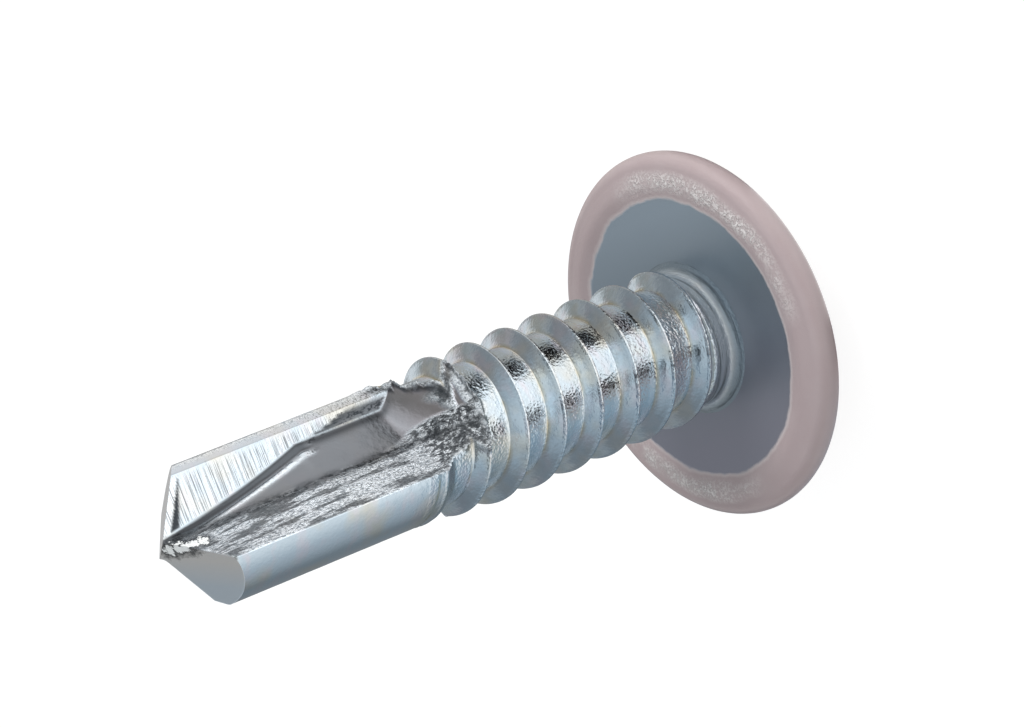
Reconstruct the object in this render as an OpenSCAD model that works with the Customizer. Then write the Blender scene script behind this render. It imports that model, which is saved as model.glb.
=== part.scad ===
// Self-drilling tapping screw with a washer-flanged pan head, cold forged as one piece.
// It stands on the flat crown of its head with the drill point up, axis on Z, floor at z = 0.
// Thread and point are left-handed, as the picture shows them.

/* [Head] */
// Diameter over the washer flange
flange_d = 10.2; // [9:0.1:12]
// Height from the crown to the bearing face
head_h = 2.2; // [2:0.1:2.8]
// Radius of the full round on the flange rim, half the rim's thickness
rim_r = 0.4; // [0.3:0.05:0.5]
// Diameter of the flat crown that the screw stands on
crown_d = 5.2; // [4.9:0.1:5.8]
// Diameter of the pan where it meets the flange
pan_d = 7.6; // [7:0.1:8.2]

/* [Cross recess] */
// Span over the wings at the crown
wing_span = 4.4; // [4:0.1:4.6]
// Width of a wing at the crown
wing_w = 1.1; // [0.9:0.05:1.3]
// Width of a wing at the recess floor
wing_w_in = 0.75; // [0.6:0.05:0.85]
// Depth of the wings
wing_depth = 1.75; // [1.4:0.05:1.9]
// Diameter of the middle well at the crown
well_d = 2.5; // [2:0.1:2.8]

/* [Shank] */
// Length from the bearing face to the point
length = 18.1; // [17.6:0.1:20]
// Diameter of the plain neck under the head
neck_d = 3.64; // [3.5:0.02:3.8]
// Gap between the crests and the inner edge of the bearing face
seat_gap = 0.03; // [0.02:0.01:0.1]
// Length of the plain neck with its fillet
neck_l = 0.72; // [0.6:0.02:1]

/* [Thread] */
// Diameter over the crests
thread_d = 4.2; // [4.1:0.05:4.4]
// Diameter of the land between two turns
root_d = 3.32; // [3.1:0.02:3.5]
// Distance from crest to crest
pitch = 1.294; // [1.2:0.01:1.4]
// Angle of each side of a turn against a square cut
flank_angle = 30; // [25:1:35]
// Width of the flat on the crest
crest_w = 0.07; // [0.04:0.01:0.12]
// Height above the bearing face at which the crest passes the +X side first
first_crest = 0.78; // [0.7:0.02:0.9]
// Straight steps to one turn
turn_steps = 40; // [24:1:60]

/* [Drill point] */
// Diameter of the drill body
drill_d = 3.78; // [3.6:0.02:3.9]
// Length of the drill body, from the point to where it falls to the land
drill_l = 7.5; // [7.2:0.05:7.8]
// Distance from the point to the end of the thread
thread_end = 7.9; // [7.7:0.05:8.3]
// Fall of a cutting lip for each millimetre outwards
lip_slope = 0.65; // [0.55:0.01:0.7]
// Fall behind the first cutting lip for each millimetre, the clearance
first_clearance = 0.55; // [0.45:0.01:0.6]
// Fall behind the second cutting lip, which the pinched point has flatter
second_clearance = 0.2; // [0.16:0.01:0.5]
// Radius on the outer corners of the point
corner_r = 0.3; // [0.15:0.05:0.4]
// Turn of the first cutting lip from +X, seen from the point
lip_turn = 0; // [-20:1:15]
// Distance of each cutting lip ahead of the middle
lip_ahead = 0.18; // [0.12:0.01:0.25]
// Distance at which the flat rake face ends and its rough margin starts
margin_start = 1.57; // [1.45:0.01:1.65]
// Half thickness of the web at the point
web_tip = 0.4; // [0.34:0.01:0.46]
// Gain of half thickness of the web for each millimetre from the point
web_slope = 0.11; // [0.1:0.001:0.125]
// Half thickness of the web that the flute keeps further on
web_deep = 0.925; // [0.88:0.005:0.98]
// Radius of the corner between rake face and flute floor, as its run on each face
corner_run = 0.26; // [0.2:0.02:0.34]
// Hollow of the flute floor in the middle
floor_hollow = 0.08; // [0.02:0.01:0.12]
// Angle between a lip and the heel edge of its flute
flute_angle = 115.6; // [112:0.2:119]
// Length over which the flute keeps its heel edge straight
flute_straight = 7.6; // [7.4:0.05:7.8]
// Length of a flute until it has run out
flute_l = 9.75; // [9.5:0.05:9.9]

/* [Hidden] */
$fn = 72;
steel = [0.72, 0.74, 0.77];
eps = 0.01;
z_face = head_h;
z_tip = head_h + length;
drill_r = drill_d / 2;
root_r = root_d / 2;
neck_r = neck_d / 2;
neck_fillet = thread_d / 2 + seat_gap - neck_r;
flange_r = flange_d / 2;
z_land_end = z_tip - drill_l;
thread_rise = thread_d / 2 - root_r;
core_r = root_r - 0.12;
floor_reach = 2.6;

// Revolved blank: head, neck, land between the turns, drill body
module blank() {
    rotate_extrude()
        polygon(concat(
            [[0, 0], [crown_d / 2, 0]],
            // shoulder of the pan, a quarter of an ellipse from the crown to the flange
            [for (i = [1:7]) let (a = i * 90 / 8)
                [crown_d / 2 + (pan_d - crown_d) / 2 * sin(a),
                 (head_h - 2 * rim_r - 0.12) * (1 - cos(a))]],
            [[pan_d / 2, head_h - 2 * rim_r - 0.12]],
            // full round of the rim
            [for (i = [0:12]) let (a = -90 + i * 15)
                [flange_r - rim_r + rim_r * cos(a), head_h - rim_r + rim_r * sin(a)]],
            // fillet up to the neck
            [for (i = [0:5]) let (a = 270 - i * 18)
                [neck_r + neck_fillet + neck_fillet * cos(a),
                 z_face + neck_fillet + neck_fillet * sin(a)]],
            [[neck_r, z_face + neck_l], [core_r, z_face + neck_l + 0.45]],
            [[core_r, z_land_end - 0.5], [drill_r, z_land_end]],
            // rounded outer corner of the point, then a cone that the flank faces cut
            [for (i = [0:5]) let (a = i * 12)
                [drill_r - corner_r + corner_r * cos(a),
                 z_tip - lip_slope * drill_r + 0.2 + corner_r * sin(a)]],
            [[0, z_tip + 0.9]]
        ));
}

// Height of the crest over the land, as a share, at a height z over the bearing face:
// it fades into the neck at one end and into the drill body at the other
function crest_share(z) =
    let (a = (z - 0.3) / 0.5, b = (length - thread_end - z) / 1.5)
    max(0, min(1, a, 0.42 + 0.58 * b, 4 * b));

// One section of the turn, four points on the ray at angle t, from land to land
function turn_section(t) =
    let (z = first_crest - pitch * t / 360,
         rise = thread_rise * crest_share(z),
         half = crest_w / 2 + 0.02 + rise * tan(flank_angle),
         r = root_r + rise, zc = z_face + z)
    [[root_r * cos(t), root_r * sin(t), zc - half],
     [r * cos(t), r * sin(t), zc - crest_w / 2],
     [r * cos(t), r * sin(t), zc + crest_w / 2],
     [root_r * cos(t), root_r * sin(t), zc + half]];

// Left-handed single thread with its land, one closed rod whose ends lie inside the blank
module threaded_rod() {
    n = turn_steps;
    z_first = -0.8;
    z_last = length - drill_l + 0.35 + pitch;
    count = ceil((z_last - z_first) / pitch * n);
    t0 = (first_crest - z_first) / pitch * 360;
    rings = [for (i = [0:count]) turn_section(t0 - i * 360 / n)];
    m = 4 * (count + 1);
    // points on the axis that close the first and the last turn
    low = [for (i = [0:n]) [0, 0, rings[i][0][2]]];
    high = [for (i = [0:n]) [0, 0, rings[count - n + i][3][2]]];
    hi0 = m + n + 1;
    e = 4 * (count - n);
    sides = [for (i = [0:count - 1], k = [0:2])
        let (a = 4 * i + k, b = a + 1, c = a + 4, d = a + 5)
        each [[a, b, c], [b, d, c]]];
    land = [for (i = [0:count - n - 1])
        let (a = 4 * i + 3, b = 4 * (i + n), c = a + 4, d = b + 4)
        each [[a, b, c], [b, d, c]]];
    foot = [for (i = [0:n - 1])
        let (a = m + i, b = 4 * i, c = a + 1, d = b + 4)
        each [[a, b, d], [a, d, c]]];
    top = [for (i = [0:n - 1])
        let (a = e + 4 * i + 3, b = hi0 + i, c = a + 4, d = b + 1)
        each [[a, b, c], [b, d, c]]];
    polyhedron(
        points = concat([for (r = rings) each r], low, high),
        faces = [for (f = concat(sides, land, foot, top,
            [for (i = [0:n - 1]) [m + i, m + i + 1, 0]],
            [for (q = [[1, 0], [2, 1], [3, 2], [4 * n, 3]]) [m + n, q[0], q[1]]],
            [for (i = [0:n - 1]) [hi0 + i + 1, hi0 + i, e + 3]],
            [for (k = [0:2]) [hi0 + n, 4 * count + k, 4 * count + k + 1]],
            [[hi0 + n, e + 3, 4 * count]])) [f[2], f[1], f[0]]],
        convexity = 12);
}

// Distance of the flute floor from the axis, at distance h from the point
function floor_d(h) =
    min(web_tip + web_slope * h, web_deep)
    + 0.95 * pow(max(0, h - flute_straight) / (flute_l - flute_straight), 1.3);

// Direction that the flute floor faces, measured from the lip: the heel edge stays
// straight, and then the floor turns a little as it runs out
function floor_turn(h) =
    flute_angle - acos(min(web_tip + web_slope * h, web_deep) / drill_r)
    + 17 * max(0, h - flute_straight) / (flute_l - flute_straight);

// Section of the space over the flute floor, at distance h from the point:
// the floor in short pieces, a little hollow, and a far edge outside the blank
function floor_section(h) =
    let (d = floor_d(h), n = floor_turn(h), far = 4)
    concat(
        [for (u = [-floor_reach : floor_reach / 4 : floor_reach])
            let (r = d - floor_hollow * (1 - pow(u / floor_reach, 2)))
            [r * cos(n) + u * sin(n), r * sin(n) - u * cos(n), z_tip - h]],
        [[(d + far) * cos(n) + floor_reach * sin(n),
          (d + far) * sin(n) - floor_reach * cos(n), z_tip - h],
         [(d + far) * cos(n) - floor_reach * sin(n),
          (d + far) * sin(n) + floor_reach * cos(n), z_tip - h]]);

// Space over the floor of a flute, a twisted wedge in flat steps
module over_floor() {
    steps = 18;
    k_last = 10;
    per = k_last + 1;
    hs = [for (i = [0:steps]) i == 0 ? -0.4 : flute_l * i / steps];
    pts = [for (h = hs) each floor_section(h)];
    sides = [for (i = [0:steps - 1], k = [0:k_last])
        let (a = per * i + k, b = per * i + (k + 1) % per, c = a + per, d = b + per)
        each [[a, b, c], [b, d, c]]];
    n = per * steps;
    polyhedron(
        points = pts,
        faces = concat([[for (k = [k_last:-1:0]) k]], sides, [[for (k = [0:k_last]) n + k]]),
        convexity = 6);
}

// Section of the rounded corner between rake face and floor, at distance h from the point
function corner_section(h) =
    let (n = floor_turn(h),
         d = floor_d(h) - floor_hollow * 0.3,
         v = [(d - lip_ahead * sin(n)) / cos(n), lip_ahead],
         along = [-sin(n), cos(n)], out = [cos(n), sin(n)],
         p0 = v + corner_run * [1, 0], p2 = v + corner_run * along,
         back = 0.12)
    [for (q = concat(
        [p0 - [0, back]],
        [for (i = [0:4]) let (k = i / 4)
            pow(1 - k, 2) * p0 + 2 * k * (1 - k) * v + pow(k, 2) * p2],
        [p2 - back * out, v - back * out - [0, back]]))
        [q[0], q[1], z_tip - h]];

// Rounded corner that stays in the flute
module flute_corner() {
    steps = 12;
    l = flute_straight + 0.4;
    pts = [for (i = [0:steps]) each corner_section(-0.5 + (l + 0.5) * i / steps)];
    sides = [for (i = [0:steps - 1], k = [0:7])
        let (a = 8 * i + k, b = 8 * i + (k + 1) % 8, c = a + 8, d = b + 8)
        each [[a, b, c], [b, d, c]]];
    n = 8 * steps;
    polyhedron(
        points = pts,
        faces = concat([[for (k = [7:-1:0]) k]], sides, [[for (k = [0:7]) n + k]]),
        convexity = 6);
}

// Space before the flat rake face and its bevelled margin
module before_rake() {
    translate([0, 0, z_tip - flute_l - 1])
        linear_extrude(height = flute_l + 2)
            polygon([[-7, lip_ahead], [margin_start, lip_ahead],
                     [margin_start + 1.2, lip_ahead - 1.2], [7, lip_ahead - 1.2],
                     [7, 7], [-7, 7]]);
}

// Space that one flute takes out, with the lip on +X and the flute on its +Y side
module flute_space() {
    difference() {
        intersection() {
            over_floor();
            before_rake();
        }
        flute_corner();
    }
}

// Everything above the sloping flank face behind one lip
module flank_space(fall) {
    g = sqrt(pow(lip_slope, 2) + pow(fall, 2));
    translate([0, 0, z_tip])
        rotate([0, 0, atan2(-fall, lip_slope)])
            rotate([0, atan(g), 0])
                translate([-6, -6, 0])
                    cube([12, 12, 6]);
}

// The point is cut for left-hand driving, so each flute lies on the -Y side of its lip
module point_spaces() {
    for (k = [0, 1])
        rotate([0, 0, lip_turn + 180 * k])
            mirror([0, 1, 0]) {
                flute_space();
                flank_space(k == 0 ? first_clearance : second_clearance);
            }
}

// One pair of wings of the cross recess, a bar with tapered sides
module wing_pair() {
    rotate([90, 0, 90])
        translate([0, 0, -wing_span])
            linear_extrude(height = 2 * wing_span)
                polygon([[-wing_w / 2, -eps], [wing_w / 2, -eps],
                         [wing_w_in / 2, wing_depth], [-wing_w_in / 2, wing_depth]]);
}

// Cross recess that opens at the crown
module cross_recess() {
    intersection() {
        union() {
            wing_pair();
            rotate([0, 0, 90]) wing_pair();
        }
        translate([0, 0, -eps])
            cylinder(h = wing_depth + 2 * eps, d1 = wing_span, d2 = well_d * 0.78);
    }
    translate([0, 0, -eps])
        cylinder(h = wing_depth - 0.2, d1 = well_d, d2 = well_d * 0.66);
    translate([0, 0, wing_depth - 0.2 - 2 * eps])
        cylinder(h = 0.35, d1 = well_d * 0.66, d2 = 0.3);
}

module screw() {
    color(steel)
        difference() {
            union() {
                blank();
                threaded_rod();
            }
            point_spaces();
            cross_recess();
        }
}

screw();
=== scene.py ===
"""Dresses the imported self-drilling screw: fine meshes, finishes, studio and camera."""
import logging
import math
from dataclasses import dataclass, field
from enum import Enum
from typing import Sequence

import bpy
import numpy as np
from mathutils import Matrix, Vector, noise


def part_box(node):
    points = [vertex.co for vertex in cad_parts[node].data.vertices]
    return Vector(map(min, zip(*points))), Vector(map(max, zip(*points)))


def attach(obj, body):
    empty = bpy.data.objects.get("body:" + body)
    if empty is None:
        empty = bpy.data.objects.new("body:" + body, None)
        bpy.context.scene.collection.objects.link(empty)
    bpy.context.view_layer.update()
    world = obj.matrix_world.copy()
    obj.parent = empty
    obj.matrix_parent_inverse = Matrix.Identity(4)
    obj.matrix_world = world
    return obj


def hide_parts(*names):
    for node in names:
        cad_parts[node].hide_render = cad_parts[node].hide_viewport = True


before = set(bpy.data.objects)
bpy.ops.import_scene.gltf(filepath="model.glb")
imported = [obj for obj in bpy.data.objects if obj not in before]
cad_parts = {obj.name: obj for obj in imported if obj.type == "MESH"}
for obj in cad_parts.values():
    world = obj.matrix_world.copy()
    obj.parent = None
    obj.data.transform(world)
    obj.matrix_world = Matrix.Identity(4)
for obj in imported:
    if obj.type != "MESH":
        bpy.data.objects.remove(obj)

LOG = logging.getLogger("screw")
MM = 0.001
BODY = "root"
NODE = "screw"
IMAGE_WIDTH = 1024
# points closer than this are merged, in millimetres
MERGE = 0.002
# a radius in millimetres that no part of the screw reaches
FAR = 9.0

Span = tuple[float, float]
Socket = bpy.types.NodeSocket


def linear(code: str) -> tuple[float, float, float, float]:
    """Turns an sRGB hex colour into linear light.

    Args:
        code: six hex digits, with or without a leading hash mark.

    Returns:
        Red, green, blue and an alpha of one.
    """
    parts = [int(code.lstrip("#")[i:i + 2], 16) / 255 for i in (0, 2, 4)]
    lit = [p / 12.92 if p <= 0.04045 else ((p + 0.055) / 1.055) ** 2.4 for p in parts]
    return (lit[0], lit[1], lit[2], 1.0)


def smooth(low: float, high: float, x: np.ndarray) -> np.ndarray:
    """Smooth step from 0 at low to 1 at high.

    Args:
        low: value at which the step starts.
        high: value at which it ends.
        x: values to step.

    Returns:
        The steps, between 0 and 1.
    """
    t = np.clip((x - low) / (high - low), 0.0, 1.0)
    return t * t * (3 - 2 * t)


def within(start: Span, end: Span, x: np.ndarray) -> np.ndarray:
    """Comes in from 0 to 1 over the first span and dies out over the second.

    Args:
        start: values between which it comes in.
        end: values between which it dies out.
        x: values to look at.

    Returns:
        The shares, between 0 and 1.
    """
    return smooth(*start, x) * (1 - smooth(*end, x))


def bell(middle: float, width: float, x: np.ndarray) -> np.ndarray:
    """Rises to 1 at the middle and falls off on both sides over about a width."""
    return np.exp(-((x - middle) / width) ** 2)


def greatest(*fields: np.ndarray) -> np.ndarray:
    """The greatest of several fields at each point."""
    return np.maximum.reduce(fields)


def soft_max(a: np.ndarray, b: np.ndarray, width: float) -> np.ndarray:
    """Greater of two fields with a rounded corner between them.

    Args:
        a: first field.
        b: second field.
        width: how wide the rounding is, in the fields' unit.

    Returns:
        The blended greater value.
    """
    h = np.clip(0.5 + 0.5 * (a - b) / width, 0.0, 1.0)
    return b + (a - b) * h + width * h * (1 - h)


def grain(points: np.ndarray, scale: Sequence[float], seed: float) -> np.ndarray:
    """Smooth noise between about -1 and 1 at many points.

    Args:
        points: rows of x, y, z.
        scale: waves for each unit along x, y and z.
        seed: offset that makes one pattern differ from the next.

    Returns:
        One value for each point.
    """
    s = np.asarray(scale)
    return np.array([noise.noise(Vector(p * s) + Vector((seed, -seed, 2 * seed))) for p in points])


def deselect() -> None:
    """Leaves nothing selected."""
    bpy.ops.object.select_all(action="DESELECT")


def activate(obj: bpy.types.Object) -> None:
    """Selects one object alone and makes it the active one.

    Args:
        obj: the object.
    """
    deselect()
    obj.select_set(True)
    bpy.context.view_layer.objects.active = obj


def draw_outline(name: str, points: Sequence[tuple[float, float]]) -> bpy.types.Object:
    """Draws a chain of edges in the XZ plane by extruding one vertex after another.

    Args:
        name: name of the new object.
        points: radius and height of each point, in millimetres.

    Returns:
        The object, in object mode.
    """
    deselect()
    bpy.ops.mesh.primitive_plane_add(size=MM, location=(0, 0, 0))
    obj = bpy.context.object
    obj.name = name
    obj.data.name = name
    bpy.ops.object.mode_set(mode="EDIT")
    bpy.ops.mesh.select_all(action="SELECT")
    bpy.ops.mesh.merge(type="CENTER")
    first = points[0]
    bpy.ops.transform.translate(value=(first[0] * MM, 0, first[1] * MM))
    for here, there in zip(points, points[1:]):
        step = ((there[0] - here[0]) * MM, 0, (there[1] - here[1]) * MM)
        bpy.ops.mesh.extrude_region_move(TRANSFORM_OT_translate={"value": step})
    bpy.ops.object.mode_set(mode="OBJECT")
    return obj


def settle(obj: bpy.types.Object) -> None:
    """Puts an object's place and turn into its mesh."""
    activate(obj)
    bpy.ops.object.transform_apply(location=True, rotation=True, scale=True)


def finish_mesh(obj: bpy.types.Object, angle: float) -> None:
    """Makes the normals face outwards and shades all but the sharp edges smooth.

    Args:
        obj: the piece.
        angle: edges sharper than this many degrees stay crisp.
    """
    settle(obj)
    bpy.ops.object.mode_set(mode="EDIT")
    bpy.ops.mesh.select_all(action="SELECT")
    bpy.ops.mesh.normals_make_consistent(inside=False)
    bpy.ops.object.mode_set(mode="OBJECT")
    bpy.ops.object.shade_smooth_by_angle(angle=math.radians(angle))


def read_points(obj: bpy.types.Object) -> np.ndarray:
    """Reads a mesh's points.

    Args:
        obj: the object that has the mesh.

    Returns:
        The points in millimetres, one row each.
    """
    flat = np.empty(len(obj.data.vertices) * 3)
    obj.data.vertices.foreach_get("co", flat)
    return flat.reshape(-1, 3) / MM


def write_points(obj: bpy.types.Object, points: np.ndarray) -> None:
    """Moves the mesh's points to new places, given in millimetres."""
    obj.data.vertices.foreach_set("co", (points * MM).ravel())
    obj.data.update()


def write_mask(obj: bpy.types.Object, name: str, values: np.ndarray) -> None:
    """Keeps one number for each point of the mesh, for the finish to read."""
    layer = obj.data.attributes.new(name=name, type="FLOAT", domain="POINT")
    layer.data.foreach_set("value", values.astype(np.float32))


class Mask(Enum):
    """What the finish knows about each point of the shank."""

    RAKE = "rake"
    ROUGH = "rough"
    MARGIN = "margin"
    NECK = "neck"
    CREST = "crest"
    ROOT = "root"
    LIP = "lip"
    # the next two masks hold painted shade: dark lines and a triangle in the flute's creases, and shade
    # that the finish breaks into spots
    DARK = "dark"
    GRIME = "grime"
    FLOOR = "floor"
    FLANK = "flank"
    SMOOTH = "smooth"


# the property that a node's choice, given after a dot, belongs to
CHOICES = {"Math": "operation", "VectorMath": "operation", "Mix": "data_type",
           "Attribute": "attribute_name", "VectorRotate": "rotation_type",
           "TexGradient": "gradient_type"}


@dataclass
class Nodes:
    """A node tree with one short way to add a node."""

    tree: bpy.types.NodeTree

    def add(self, kind: str, *values: object, give: str = "", **named: object) -> Socket | None:
        """Adds a node, sets its properties and fills or links its inputs.

        Args:
            kind: the node's class name without the leading ShaderNode, and after a dot its
                operation, kind of data or attribute.
            values: numbers, hex colours or sockets of other nodes, for the inputs in use.
            give: name of the output to return, where it isn't the first one in use.
            named: properties in small letters, and inputs with a capital letter and an
                underscore for each blank.

        Returns:
            The output, or None for a node that has none.
        """
        kind, _, choice = kind.partition(".")
        node = self.tree.nodes.new("ShaderNode" + kind)
        if choice:
            setattr(node, CHOICES[kind], choice)
        filled = list(zip([s for s in node.inputs if s.enabled], values))
        for key, value in named.items():
            if key.islower():
                setattr(node, key, value)
            elif value is not None:
                filled.append((node.inputs[key.replace("_", " ")], value))
        for socket, value in filled:
            if isinstance(value, bpy.types.NodeSocket):
                self.tree.links.new(value, socket)
            else:
                socket.default_value = linear(value) if isinstance(value, str) else value
        outputs = [s for s in node.outputs if s.enabled and give in ("", s.name)]
        return outputs[0] if outputs else None

    def millimetres(self, x: float = 1, y: float = 1, z: float = 1) -> Socket:
        """The object's own coordinates in millimetres, each stretched by a factor."""
        at = self.add("TexCoord", give="Object")
        return self.add("VectorMath.MULTIPLY", at, (x / MM, y / MM, z / MM))


def bump_depth(waves: float, slope: float) -> float:
    """Depth in metres that gives noise with so many waves for each millimetre that slope."""
    return slope / (1.6 * waves) * MM


def new_material(name: str) -> tuple[bpy.types.Material, Nodes]:
    """Makes an empty node material.

    Args:
        name: the material's name.

    Returns:
        The material and its nodes.
    """
    made = bpy.data.materials.new(name)
    made.use_nodes = True
    made.node_tree.nodes.clear()
    return made, Nodes(made.node_tree)


@dataclass(frozen=True)
class ZincPlate:
    """Bright zinc plate with a clear passivation, dented and streaked as forging leaves it."""

    blue: str = "#C6D2DA"
    warm: str = "#D3CFC4"
    rosy: str = "#D4CFD5"
    pale: str = "#F0F2F1"
    stain: str = "#B9A36C"
    dark: str = "#383C40"
    speck: str = "#8D9297"
    cool: str = "#EEF4F9"
    gap: str = "#969EA5"
    # tint of the painted bluish reflection on the thread's lower side
    reflected_blue: str = "#86A0B4"
    floor: str = "#888C91"
    floor_end: str = "#ABA6AB"
    # darker blue-grey of the painted shadow at the neck's foot, also used for blotches on the thread's
    # flanks
    foot: str = "#93A0AA"
    foot_shadow_mm: tuple[float, float] = (2.26, 2.42)
    flank: str = "#E2E2E2"
    flank_far: str = "#CEDBE7"
    patch_line: tuple[tuple[float, float, float], ...] = (
        (-0.05, -0.25, 20.21), (-0.08, -0.5, 20.14), (-0.11, -0.74, 20.06), (-0.12, -0.79, 19.82),
        (-0.14, -0.84, 19.6))
    patch_mm: float = 0.14
    shine: float = 0.09
    dull: float = 0.2
    flank_dull: float = 0.32
    flank_edge_mm: float = 0.05

    def tint(self, n: Nodes) -> Socket:
        """Base colour that drifts between blue, warm and rosy.

        Args:
            n: the material's nodes.

        Returns:
            The colour.
        """
        warm = n.add("MapRange", n.add("TexNoise", n.millimetres(), 0.9, 2, 0.5), 0.5, 0.68, 0, 0.8)
        drift = n.add("TexNoise", n.millimetres(1, 1, 1.7), 1.3, 2, 0.5)
        rosy = n.add("MapRange", drift, 0.52, 0.7, 0, 0.7)
        return n.add("Mix.RGBA", rosy, n.add("Mix.RGBA", warm, self.blue, self.warm), self.rosy)

    def torn_patch(self, n: Nodes) -> tuple[Socket, Socket]:
        """The torn bright patch beside the chisel edge, and the dark ring round it.

        Args:
            n: the material's nodes.

        Returns:
            The patch and the ring, from 0 to 1.
        """
        mm = n.millimetres()
        spans = [n.add("VectorMath.DISTANCE", mm, at) for at in self.patch_line]
        wander = n.add("Math.SUBTRACT", n.add("TexNoise", mm, 8.0, 4, 0.75), 0.5)
        wander = n.add("Math.MULTIPLY", wander, 0.56)
        away = spans[0]
        for span in spans[1:]:
            away = n.add("Math.MINIMUM", away, span)
        away = n.add("Math.ADD", away, wander)
        patch = n.add("MapRange", away, self.patch_mm, self.patch_mm + 0.03, 1, 0)
        ring = n.add("MapRange", away, self.patch_mm + 0.06, self.patch_mm + 0.26, 0.9, 0)
        return patch, ring

    def colour(self, n: Nodes, marks: dict[Mask, Socket], worn: Socket, streaks: Socket) -> Socket:
        """Colour of the plate and of the flute's faces, with a painted bluish reflection and a painted
        shadow at the neck's foot, before the painted shade darkens them.

        Args:
            n: the material's nodes.
            marks: the mesh's masks.
            worn: where the plate is worn to a chalky white; on the crests this is partly a painted
                highlight.
            streaks: torn streaks along the axis.

        Returns:
            The colour.
        """
        mm = n.millimetres()
        across, _, height = n.add("SeparateXYZ", mm).node.outputs
        specks = n.add("MapRange", n.add("TexNoise", mm, 12.0, 4, 0.75), 0.38, 0.54)
        chalk = n.add("Mix.RGBA", specks, self.speck, self.pale)
        colour = n.add("Mix.RGBA", n.add("Math.MULTIPLY", worn, 0.85), self.tint(n), chalk)
        rake, lip, neck = [n.add("Math.MULTIPLY", marks[which], share) for which, share in
                           ((Mask.RAKE, 0.25), (Mask.LIP, 0.75), (Mask.NECK, 0.5))]
        whiter = n.add("Math.MAXIMUM", n.add("Math.MAXIMUM", rake, lip), neck)
        colour = n.add("Mix.RGBA", whiter, colour, self.cool)
        floor_end = n.add("MapRange", height, 13.0, 11.8)
        floor = n.add("Mix.RGBA", floor_end, self.floor, self.floor_end)
        # torn steel in the flute: fine streaks with a painted sparkle, and painted shade in the dark
        # valleys between broad ridges
        torn = n.add("Mix.RGBA", n.add("MapRange", streaks, 0.42, 0.5), self.gap, self.cool)
        valleys = n.add("TexNoise", n.millimetres(4.2, 4.2, 0.5), 1.0, 4, 0.7)
        torn = n.add("Mix.RGBA", n.add("MapRange", valleys, 0.5, 0.58, 0, 0.85), torn, self.dark)
        blotch = n.add("MapRange", n.add("TexNoise", mm, 2.6, 5, 0.72), 0.42, 0.62, 0, 0.2)
        stain = n.add("TexNoise", n.millimetres(1.5, 1.5, 0.8), 1.0, 2, 0.5)
        stain = n.add("MapRange", stain, 0.35, 0.6, 0, 0.6)
        # painted reflection: a bluer tint on the thread's lower side in the camera's view, towards -X
        blue_reflection = n.add("MapRange", across, -0.7, -1.6, 0, 0.4)
        layers = ((marks[Mask.FLOOR], 0.9, floor), (marks[Mask.ROUGH], 0.9, torn),
                  (marks[Mask.FLANK], blotch, self.foot), (marks[Mask.ROOT], stain, self.stain),
                  (blue_reflection, n.add("MapRange", height, 12.2, 11.6), self.reflected_blue))
        for where, share, paint in layers:
            colour = n.add("Mix.RGBA", n.add("Math.MULTIPLY", where, share), colour, paint)
        # painted shadow round the foot of the neck, next to the bearing face
        return n.add("Mix.RGBA", n.add("MapRange", height, *self.foot_shadow_mm, 1, 0), colour, self.foot)

    def grime(self, n: Nodes, marks: dict[Mask, Socket], lines: Socket, rings: Socket) -> Socket:
        """Painted shade in the flute's creases, broken up by small spots, and dark grinding and turning
        lines.

        Args:
            n: the material's nodes.
            marks: the mesh's masks.
            lines: grinding lines across the rake face.
            rings: turning lines round the neck.

        Returns:
            How dark each place is, from 0 to 1.
        """
        rake_dark = n.add("MapRange", lines, 0.475, 0.61, 0, 0.72)
        rake_dark = n.add("Math.MULTIPLY", rake_dark, marks[Mask.RAKE])
        neck_dark = n.add("MapRange", rings, 0.5, 0.64, 0, 0.6)
        neck_dark = n.add("Math.MULTIPLY", neck_dark, marks[Mask.NECK])
        # painted shade: the flute's shade mask, broken up into small spots
        spots = n.add("TexNoise", n.millimetres(13, 13, 5), 1.0, 4, 0.7)
        spots = n.add("MapRange", spots, 0.47, 0.56, 1.0, 0.05)
        spots = n.add("Math.MULTIPLY", marks[Mask.GRIME], spots)
        grime = n.add("Math.MAXIMUM", marks[Mask.DARK], spots)
        return n.add("Math.MAXIMUM", grime, n.add("Math.MAXIMUM", rake_dark, neck_dark))

    def build(self) -> bpy.types.Material:
        """The finish of the neck, thread, flutes and drill body.

        Returns:
            The material.
        """
        made, n = new_material("zinc_plate")
        mm = n.millimetres()
        marks = {which: n.add("Attribute." + which.value, give="Fac") for which in Mask}
        uneven = n.add("Math.SUBTRACT", 1.0, marks[Mask.SMOOTH])
        # the crests take half the chalky worn colour: partly worn plate and partly a painted highlight
        # along the crest line
        crest = n.add("Math.MULTIPLY", marks[Mask.CREST], 0.5)
        worn = n.add("Math.MAXIMUM", marks[Mask.MARGIN], crest)
        streaks = n.add("TexNoise", n.millimetres(24, 24, 9), 1.0, 3, 0.7)
        lines = n.add("TexNoise", n.millimetres(0.5, 0.5, 30), 1.0, 3, 0.7)
        rings = n.add("TexNoise", n.millimetres(0.35, 0.35, 14), 1.0, 4, 0.7)
        patch, ring = self.torn_patch(n)
        # painted shade: the flute's shade masks, with the dark ring round the torn patch, darken the
        # colour
        shade = n.add("Math.MAXIMUM", self.grime(n, marks, lines, rings), ring)
        colour = n.add("Mix.RGBA", shade, self.colour(n, marks, worn, streaks), self.dark)
        colour = n.add("Mix.RGBA", patch, colour, self.pale)
        gloss = n.add("TexNoise", mm, 2.2, 4, 0.65)
        gloss = n.add("MapRange", gloss, 0.35, 0.7, self.shine, self.dull)
        matte = n.add("Math.MAXIMUM", worn, marks[Mask.NECK])
        gloss = n.add("Math.ADD", gloss, n.add("Math.MULTIPLY", matte, 0.2))
        wiped = n.add("Math.MULTIPLY", marks[Mask.ROUGH], 0.06)
        gloss = n.add("Math.SUBTRACT", gloss, wiped)
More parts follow.
